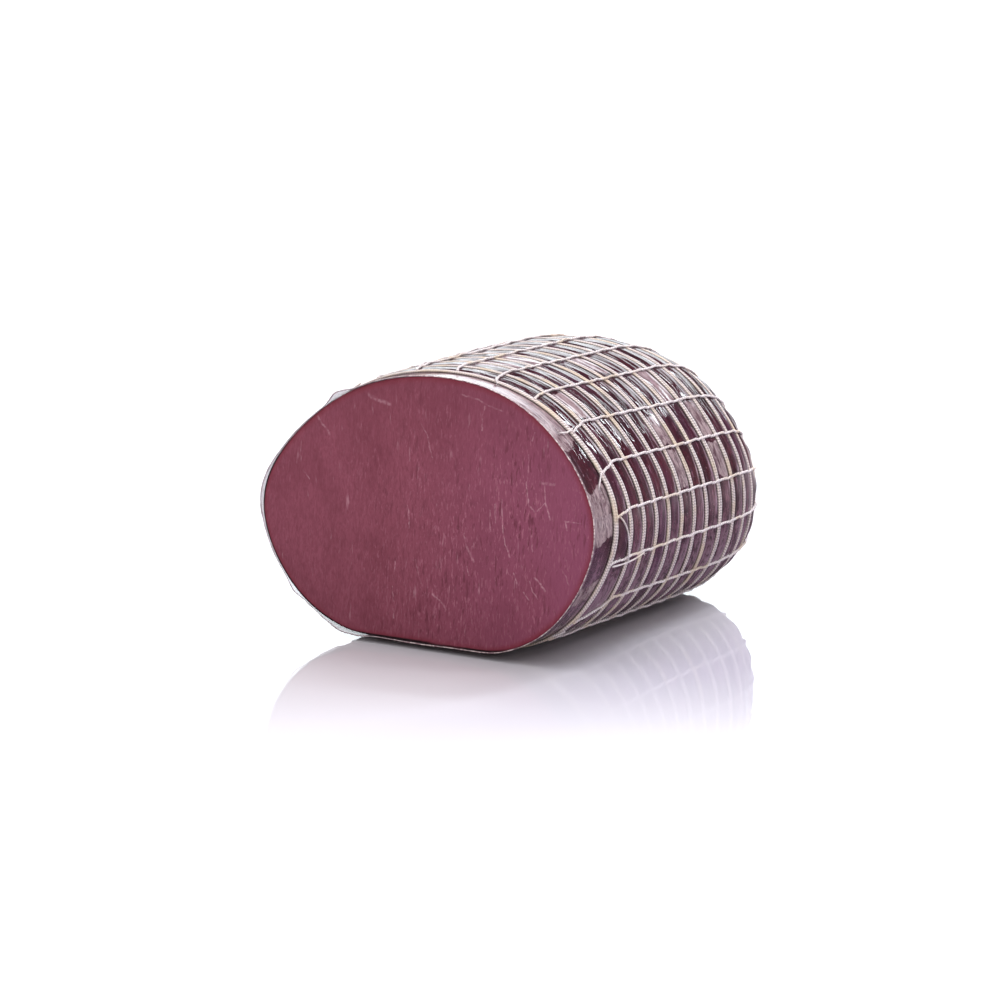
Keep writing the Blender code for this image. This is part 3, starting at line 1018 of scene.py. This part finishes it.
# %% Film edge bead
BEAD = 0.17 * MM
BEAD_DARK = (150, 116, 124)
BEAD_LIGHT = (226, 208, 206)
BEAD_LEFT = (176, 160, 165)
bead_around = np.linspace(0, 1, FILM_COLUMNS * 2 + 1)
bead_out, bead_off = film_edge(bead_around)
bead_size = BEAD * (np.clip(1 + 0.9 * circle_wave(bead_around, 22, 51), 0.7, 1.6) + 0.5 * bead_off / MM)
points, out = on_joint(bead_around, -bead_out, FILM_AT_CUT + bead_off)
points[-1] = points[0]
mesh = bmesh.new()
yarn(mesh, points, out, bead_size, 5)


def make_bead():
    """Pale specks, greyer on the left."""
    material, tree, shader = new_material("film_edge")
    here = add(tree, "TexCoord").outputs["Object"]
    speck = grain(here, EVEN, 900, 2)
    colour = mix(fade(speck, 0.4, 0.6), screen(*BEAD_DARK), screen(*BEAD_LIGHT))
    colour = tint(colour, fade(parts(here)["X"], 0, -0.03, 0, 0.8), BEAD_LEFT)
    set_inputs(shader, {"Base Color": colour, "Roughness": 0.3})
    return material


bead = finish_piece(mesh, "film_edge", "casing", make_bead())
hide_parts("casing")

# %% [markdown]
# ## The net's rings
#
# Each ring is two elastic yarns side by side, covered in cotton. They are pinched
# together where a chain holds them and spread apart between. A curve with a bevel would
# make such yarns, but a rolled sheet also gives each one UVs with its length in metres,
# so its cover can be drawn as a fine twist.

# %% Ring yarns
RING_STEPS = CHAINS * 12
RING_YARN = 0.66 * MM  # half the width of one yarn
RING_FLAT = 0.56  # its height, to its width
PINCHED = 1.30 * MM
SPREAD = 1.62 * MM
RING_SINK = 0.08 * MM
RING_SWAY = 0.35 * MM  # how far a ring wanders
RING_BOW = 0.15 * MM  # and how far it bows between two chains
LOOSE_SPREAD = 1.05  # how much further apart the yarns of the first ring lie
LOOSE_THICK = 1.3  # and how much thicker they are, with no pull on them


def ring_path(ring, side):
    """Path of one of a ring's two yarns on the flat layout, and the joint's size there."""
    around = np.linspace(0, 1, RING_STEPS + 1)
    slack = ring == 0
    base = first_ring_run(around) if slack else np.full_like(around, ring_runs[ring - 1])
    apart = 0.5 - np.cos((around - CHAIN_SLANT * slack) * CHAINS * math.tau) * 0.5
    gap = PINCHED + (SPREAD - PINCHED) * apart * (1 + 0.5 * circle_wave(around, 9, 22, ring * 1.7))
    gap = gap * (LOOSE_SPREAD if slack else 1)
    size = np.clip(girth(base) / girths[0], 0.3, 1)
    sway = RING_SWAY * circle_wave(around, 5, 21, ring * 1.7) + RING_BOW * apart
    return around, base + (sway + side * gap / 2) * size, size


for side, name in ((-1, "ring_yarns_front"), (1, "ring_yarns_back")):
    mesh = bmesh.new()
    for ring in range(len(ring_runs) + 1):
        around, run, size = ring_path(ring, side)
        thickness = RING_YARN * (0.5 + 0.5 * size) * (LOOSE_THICK if ring == 0 else 1)
        lift = base_lift(run) + thickness * RING_FLAT - RING_SINK
        points, out = on_joint(around, run, lift)
        yarn(mesh, points, out, thickness, 6, RING_FLAT)
    piece = finish_piece(mesh, name, "net")
    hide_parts("net")

# %% [markdown]
# ## The net's chains
#
# The chains run along the joint and hold the rings. Each is knitted, and from a step
# away looks like two plies twisted together that climb over every ring and dip between
# them. The plies are modelled as helices round a path that does the same, with a small
# jog to the side at each ring, as the stitch makes.

# %% Chain plies
PLY = 0.34 * MM
PLY_OFFSET = 0.22 * MM
TWIST = 2.5 * MM
CHAIN_STEP = 0.45 * MM
OVER_RING = 2 * RING_YARN * RING_FLAT - RING_SINK + PLY  # height of a chain's middle over the film at a ring
JOG = 0.35 * MM
CHAIN_WANDER = 0.22 * MM
FEET = {0: -0.0057, 1: -0.0086, 2: -0.0085, 3: -0.0057, 4: -0.0085, 20: -0.0256, 21: -0.0028}


def chain_middle(around, run, seed):
    """How far to the side and how high a chain's middle lies at runs from the cut."""
    share, index = ring_gap(around, run)
    over = np.cos(share * math.tau) * 0.5 + 0.5
    dip = film_lift(around, run) + PLY + PLY_OFFSET * 0.5
    lift = dip * (1 - over ** 2) + (base_lift(run) + OVER_RING) * over ** 2
    jog = JOG * (smooth_step((share + 0.5) % 1) - 0.5)
    slack = np.stack([run, np.full_like(run, seed * 3.1), np.zeros_like(run)], axis=1)
    wobble = CHAIN_WANDER * wave(slack, (90, 1, 1), 31)
    return (jog + wobble) / np.maximum(girth(run), 0.02), lift


def chain_path(chain):
    """Points and outward directions of a chain's middle, from the first ring to the eye."""
    slant = FEET.get(chain, CHAIN_SLANT)
    foot = float(first_ring_run(np.array(chain / CHAINS + slant))) - 0.5 * MM
    steps = int((EYE_RUN - foot) / CHAIN_STEP)
    run = np.linspace(foot, EYE_RUN + 1.5 * MM, steps)
    around = chain / CHAINS + slant * np.clip((SECOND_RING - run) / (SECOND_RING - foot), 0, 1)
    offset, lift = chain_middle(around, run, chain)
    return on_joint(around + offset, run, lift)


for ply, name in ((0, "chain_plies_a"), (1, "chain_plies_b")):
    mesh = bmesh.new()
    for chain in range(CHAINS):
        middle, out = chain_path(chain)
        ahead = np.gradient(middle, axis=0)
        side = unit(np.cross(ahead, out))
        turn = way_along(middle) / TWIST * math.tau + ply * math.pi + chain
        path = middle + PLY_OFFSET * (np.cos(turn)[:, None] * out + np.sin(turn)[:, None] * side)
        thickness = np.full(len(path), PLY)
        thickness[0] = thickness[-1] = 1e-5
        yarn(mesh, path, out, thickness, 5)
    piece = finish_piece(mesh, name, "net")
    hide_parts("net")


# %% [markdown]
# ## Loose ends
#
# The net was cut with the meat, so its chains end at the first ring: some in a frayed
# tail, some in a slack loop. Hair particles could fray them. A handful of short yarns is
# simpler, and each can be laid where such an end falls. Their points are degrees round
# the joint, the run from the cut and the height over the film, both in millimetres.

# %% Loose ends
LOOSE_YARN = 0.33 * MM
FRAY = 0.09 * MM
FRAY_LENGTH = 2.2 * MM
LOOSE_ENDS = (
    ((31, 14.5, 1.5), (30.3, 10, 1.2), (30.6, 7.5, 0.9), (31.2, 5.5, 0.5)),
    ((14, 14.5, 1.5), (12, 12, 1.3), (10.5, 10.5, 0.9), (9.2, 9.5, 0.5)),
    ((-1.5, 16.5, 1.5), (-4, 20, 1.1), (-7.5, 22.6, 1), (-13, 24.2, 1.2), (-18, 25.6, 1.3)),
    ((-18, 14.5, 1.6), (-18.3, 22, 1.4), (-17.8, 30, 1.6), (-16.3, 37.5, 1.9)),
    ((-46, 11.5, 1.4), (-47.5, 10, 1.2), (-49.5, 9, 0.6)),
    ((63, 12.5, 1.4), (62, 10.5, 1), (61, 9.5, 0.5)),
    ((118, 12.5, 1.4), (119.5, 9.5, 1), (122, 8, 0.5)),
    ((196, 12.5, 1.4), (194, 9.5, 1), (193.5, 7, 0.5)),
    ((262, 12.5, 1.4), (263, 10, 1), (266, 8.5, 0.5)),
)
chance = np.random.default_rng(7)


def through(points, steps):
    """Points of a smooth curve through a few given ones."""
    points = np.array(points, dtype=float)
    padded = np.vstack([2 * points[0] - points[1], points, 2 * points[-1] - points[-2]])
    curve = []
    for first, second, third, fourth in zip(padded, padded[1:], padded[2:], padded[3:]):
        for share in np.linspace(0, 1, steps, endpoint=False):
            curve.append(0.5 * (2 * second + (third - first) * share
                                + (2 * first - 5 * second + 4 * third - fourth) * share ** 2
                                + (3 * second - first - 3 * third + fourth) * share ** 3))
    return np.array(curve + [points[-1]])


def add_tail(mesh, path, out, thickness):
    """A yarn that ends in a few stray fibres."""
    taper = np.full(len(path), thickness)
    taper[-1] = thickness * 0.5
    yarn(mesh, path, out, taper, 6)
    ahead = unit(path[-1] - path[-3])
    side = np.cross(ahead, out[-1])
    for _ in range(5):
        lean = ahead + side * chance.uniform(-0.8, 0.8) + out[-1] * chance.uniform(-0.1, 0.5)
        bend = side * chance.uniform(-0.6, 0.6)
        share = np.linspace(0, 1, 6)[:, None]
        fibre = path[-2] + (lean * share + bend * share ** 2) * FRAY_LENGTH * chance.uniform(0.5, 1.1)
        yarn(mesh, fibre, np.tile(out[-1], (6, 1)), FRAY * np.linspace(1, 0.4, 6), 4)


mesh = bmesh.new()
for points in LOOSE_ENDS:
    curve = through(points, 6)
    run = curve[:, 1] * MM
    path, out = on_joint(curve[:, 0] / 360, run, base_lift(run) + curve[:, 2] * MM)
    add_tail(mesh, path, out, LOOSE_YARN)
piece = finish_piece(mesh, "loose_ends", "net")
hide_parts("net")

# %% [markdown]
# ## The tie
#
# At the far end the net is drawn together and bound. A lathe could turn the knot in one
# go, but a bound knot shows its turns. So one long yarn is wound round the solid's form,
# over a plain core that closes the gaps between the turns, and its two ends stick out.

# %% Tie
WINDING = 0.45 * MM
TURNS = 11
TURN_STEPS = 28
TIE_FORM = np.array([(0, 5.9), (1.2, 5.8), (3.2, 4), (6, 5.4), (7.6, 3.4)]) * MM  # along, and radius
CORE_INSET = 0.6 * MM
TIE_TAILS = (((5, -2.5, 4.5), (8, -5, 5.5), (10.5, -9, 5), (12, -13, 3.5)),
             ((-4.5, -2, 4.5), (-7.5, -3, 6), (-10, -6, 6.5), (-11, -10, 5)))
tie_low, tie_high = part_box("tie")
tie_middle = np.array([(tie_low.x + tie_high.x) / 2, tie_low.y, (tie_low.z + tie_high.z) / 2])

share = np.linspace(0, 1, TURNS * TURN_STEPS + 1)
turn = share * TURNS * math.tau
along = WINDING + share * (TIE_FORM[-1, 0] - WINDING)
out = np.stack([np.cos(turn), np.zeros_like(turn), np.sin(turn)], axis=1)
radius = np.interp(along, *TIE_FORM.T) - WINDING
mesh = bmesh.new()
yarn(mesh, tie_middle + along[:, None] * (0, 1, 0) + out * radius[:, None], out, WINDING, 6)
for points in TIE_TAILS:
    path = tie_middle + through(points, 6)[:, [0, 2, 1]] * MM
    add_tail(mesh, path, np.tile((0, 1, 0), (len(path), 1)), WINDING)
finish_piece(mesh, "tie_winding", "tie")

mesh = bmesh.new()
profile = [(0, 0), *TIE_FORM[:, ::-1] - (CORE_INSET, 0), (0, TIE_FORM[-1, 0])]
verts = [mesh.verts.new((radius, along, 0)) for radius, along in profile]
edges = [mesh.edges.new(pair) for pair in zip(verts, verts[1:])]
bmesh.ops.spin(mesh, geom=verts + edges, cent=(0, 0, 0), axis=(0, 1, 0), angle=math.tau,
               steps=TURN_STEPS, use_merge=True)
bmesh.ops.translate(mesh, verts=list(mesh.verts), vec=Vector(tie_middle))
finish_piece(mesh, "tie_core", "tie")
for name in ("tie_winding", "tie_core"):
    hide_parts("tie")


# %% [markdown]
# ## The cotton cover
#
# All the net's yarns are rubber wrapped in fine cotton thread, cream where it is clean
# and tan where meat juice has dried. Threads could be modelled one by one, but at a
# tenth of a millimetre they are only a faint ribbing. The yarns' UVs run along them and
# round them, so a slanting stripe on the UVs is a thread wound round. One node group
# makes the cover, and each yarn's material gives it two colours and a number of turns.


# %% Cotton cover
COVER_STAIN = (208, 187, 160)
RING_TURN_LENGTH = 1.3 * MM  # a thread goes once round a ring's yarn in this length
CHAIN_TURN_LENGTH = 1 * MM
THREADS = 1.2  # threads side by side


def make_cotton_group():
    """Threads wound round a yarn, with stains and worn places."""
    _, given = new_group("cotton_cover", {"Object": "Vector", "UV": "Vector", "Light": "Color",
                                          "Dark": "Color", "Turns": "Float"},
                         {"Color": "Color", "Height": "Float"})
    flat = parts(given["UV"])
    wound = calc("ADD", times(flat["X"], given["Turns"]), flat["Y"])
    threads = calc("PINGPONG", times(wound, THREADS), 0.5)
    stain = grain(given["Object"], EVEN, 80, 2)
    worn = grain(given["Object"], EVEN, 420, 2)
    colour = mix(fade(threads, 0, 0.35), given["Dark"], given["Light"])
    colour = tint(colour, fade(stain, 0.50, 0.66, 0, 0.6), COVER_STAIN)
    colour = mix(fade(worn, 0.5, 0.75, 0, 0.35), colour, given["Dark"])
    return join("NodeGroupOutput", {"Color": colour, "Height": threads}).id_data


cotton_group = make_cotton_group()


def make_yarn(name, light, dark, turn_length):
    """A yarn's cover in two colours."""
    material, tree, shader = new_material(name)
    coordinates = add(tree, "TexCoord").outputs
    given = {name: coordinates[name] for name in ("Object", "UV")}
    cover = join("Group", {**given, "Light": screen(*light), "Dark": screen(*dark), "Turns": 1 / turn_length},
                 node_tree=cotton_group).outputs
    set_inputs(shader, {"Base Color": cover["Color"], "Roughness": 0.8, "Specular IOR Level": 0.3,
                        "Normal": bump(cover["Height"], 0.5, 0.08 * MM)})
    return material


ring_front = make_yarn("ring_cotton_beige", (224, 210, 203), (168, 152, 148), RING_TURN_LENGTH)
ring_back = make_yarn("ring_cotton_grey", (224, 213, 213), (162, 147, 151), RING_TURN_LENGTH)
chain_white = make_yarn("chain_cotton", (236, 227, 227), (182, 168, 172), CHAIN_TURN_LENGTH)
for name, material in (("ring_yarns_front", ring_front), ("ring_yarns_back", ring_back),
                       ("chain_plies_a", chain_white), ("chain_plies_b", chain_white),
                       ("loose_ends", chain_white), ("tie_winding", ring_front), ("tie_core", ring_back)):
    bpy.data.objects[name].data.materials.append(material)

# %% [markdown]
# ## Studio
#
# The joint stands on a white glossy table in a white room. The camera sees the room as
# pure white, but a wet film that mirrored a white room would be white all over. So rays
# that a glossy surface sends out meet a darker room and a grey table, and the film keeps
# its dark meat and its sharp lines. The table mirrors the joint most where it stands and
# fades to plain white towards the camera, which a mirror would not do: its coat thins
# out that way. At the joint's right a soft shade is painted on it.

# %% Floor
FLOOR_RADIUS = 6
FLOOR_IN_FILM = 0.85  # brightness of the floor as the glossy film mirrors it
NEAR_IN_FILM = 0.08  # and right under the joint, in its own shadow
FLOOR_DARK = 0.06  # it grows brighter from this far out
FLOOR_LIGHT = 0.50  # to here
FILM_FLOOR_COLOUR = (1, 0.93, 1, 1)
WHITE_FROM = 0.3  # from this far out the floor shines a little itself, until it is white
WHITE_TO = 1
MIRROR_FROM = 0.07  # from here towards the camera the mirror image fades
MIRROR_TO = 0.29  # and here it has gone
MIRROR_BACK = -0.12  # behind here there is no mirror image
SHADE_LEFT = 0.03  # the table's shade at the joint's right begins here
SHADE_RIGHT = 0.11
SHADE_FROM = 0.10  # it fades from here towards the camera
SHADE_TO = 0.24  # to here
SHADE_BACK = -0.09  # and behind here there is none
FLOOR_COLOUR = (0.69, 0.665, 0.71, 1)
FLOOR_SHADE = (0.49, 0.46, 0.54, 1)
mesh = bmesh.new()
bmesh.ops.create_circle(mesh, cap_ends=True, segments=96, radius=FLOOR_RADIUS)
floor = mesh_object(mesh, "floor")
floor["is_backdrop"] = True
material, tree, shader = new_material("white_table")
here = add(tree, "TexCoord").outputs["Object"]
toward_camera = (math.sin(math.radians(VIEW_TURN)), -math.cos(math.radians(VIEW_TURN)), 0)
nearer = vector("DOT_PRODUCT", here, toward_camera, output="Value")
away = vector("LENGTH", here, output="Value")
mirror = times(fade(nearer, MIRROR_TO, MIRROR_FROM), fade(nearer, MIRROR_BACK, MIRROR_BACK / 3))
# a soft shade painted on the table at the joint's right
shade = times(fade(parts(here)["X"], SHADE_LEFT, SHADE_RIGHT),
              fade(nearer, SHADE_TO, SHADE_FROM), fade(nearer, SHADE_BACK, SHADE_BACK / 2))
set_inputs(shader, {"Base Color": mix(shade, FLOOR_COLOUR, FLOOR_SHADE), "Roughness": 0.6,
                    "Specular IOR Level": 0, "Coat Weight": mirror, "Coat Roughness": 0.03,
                    "Emission Color": fade(away, WHITE_FROM, WHITE_TO), "Emission Strength": 1})
in_film = fade(away, FLOOR_DARK, FLOOR_LIGHT, NEAR_IN_FILM, FLOOR_IN_FILM)
grey = join("Emission", {"Color": FILM_FLOOR_COLOUR, "Strength": in_film}).outputs[0]
glossy = add(tree, "LightPath").outputs["Is Glossy Ray"]
both = join("MixShader", {0: glossy, 1: shader.outputs[0], 2: grey}).outputs[0]
set_inputs(tree.nodes["Material Output"], {"Surface": both})
floor.data.materials.append(material)
print("floor:", FLOOR_RADIUS, "m")

# %% Room
WHITE = (1, 1, 1, 1)
ROOM_LIGHT = 0.4
WALLS_IN_FILM = 0.30  # brightness of the room as the film mirrors it, low down
ROOM_IN_FILM = 0.12  # and high up
world = bpy.data.worlds.new("studio")
bpy.context.scene.world = world
world.use_nodes = True
tree = world.node_tree
ray = add(tree, "LightPath").outputs
height = parts(add(tree, "TexCoord").outputs["Generated"])["Z"]
darker = fade(height, 0, 0.5, ROOM_LIGHT - WALLS_IN_FILM, ROOM_LIGHT - ROOM_IN_FILM)
lit = calc("SUBTRACT", ROOM_LIGHT, times(ray["Is Glossy Ray"], darker))
room = join("Background", {"Color": WHITE, "Strength": lit}).outputs[0]
backdrop = add(tree, "Background", {"Color": WHITE, "Strength": 1}).outputs[0]
seen = join("MixShader", {0: ray["Is Camera Ray"], 1: room, 2: backdrop}).outputs[0]
set_inputs(tree.nodes["World Output"], {"Surface": seen})
bpy.context.scene.view_settings.view_transform = "Standard"
print("room as the film sees it:", WALLS_IN_FILM, "to", ROOM_IN_FILM)

# %% [markdown]
# ## Lamps
#
# A wet film shows a picture of every lamp. The big box overhead would whiten it all, so
# glossy surfaces don't see that one: it only lights the meat and the yarns. What the film
# mirrors is chosen piece by piece: a broad card low behind the joint makes the white
# upper side, narrow strips behind it and at its right draw thin glints along the
# wrinkles, and a lilac card at the right tints the near side. Two fills light the face.


# %% Soft boxes
PLAIN = (1, 1, 1)
COOL = (0.88, 0.96, 1)
LILAC = (1, 0.88, 1)
SOFT_BOXES = {  # azimuth and height in degrees, distance, width and height in metres, power, colour
    "overhead": (180, 84, 1.3, 1.2, 1.2, 15, PLAIN),
    "back_card": (209, 20, 1.5, 1.55, 0.6, 9.1, COOL),
    "back_right": (160, 42, 1.5, 0.14, 0.8, 9.5, COOL),
    "back_strip": (190, 58, 1.5, 1.2, 0.06, 4, COOL),
    "right_strip": (116, 45, 1.5, 0.10, 0.7, 3, PLAIN),
    "right_card": (100, 28, 1.2, 1.6, 0.8, 2, LILAC),
    "front_fill": (-30, 35, 1.4, 0.7, 0.7, 3.4, PLAIN),
    "camera_fill": (45, 30, 1.4, 0.7, 0.7, 1.5, PLAIN),
}
for name, (turn, rise, distance, width, height, power, colour) in SOFT_BOXES.items():
    lamp = bpy.data.lights.new(name, "AREA")
    lamp.shape = "RECTANGLE"
    lamp.size = width
    lamp.size_y = height
    lamp.energy = power
    lamp.color = colour
    aimed(name, lamp, turn, rise, distance).visible_glossy = name != "overhead"
print("soft boxes:", list(SOFT_BOXES))

# %% Sizes, and the end
size = {"cad": [list(corner) for corner in cad_box], "visual": [list(corner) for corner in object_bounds()]}
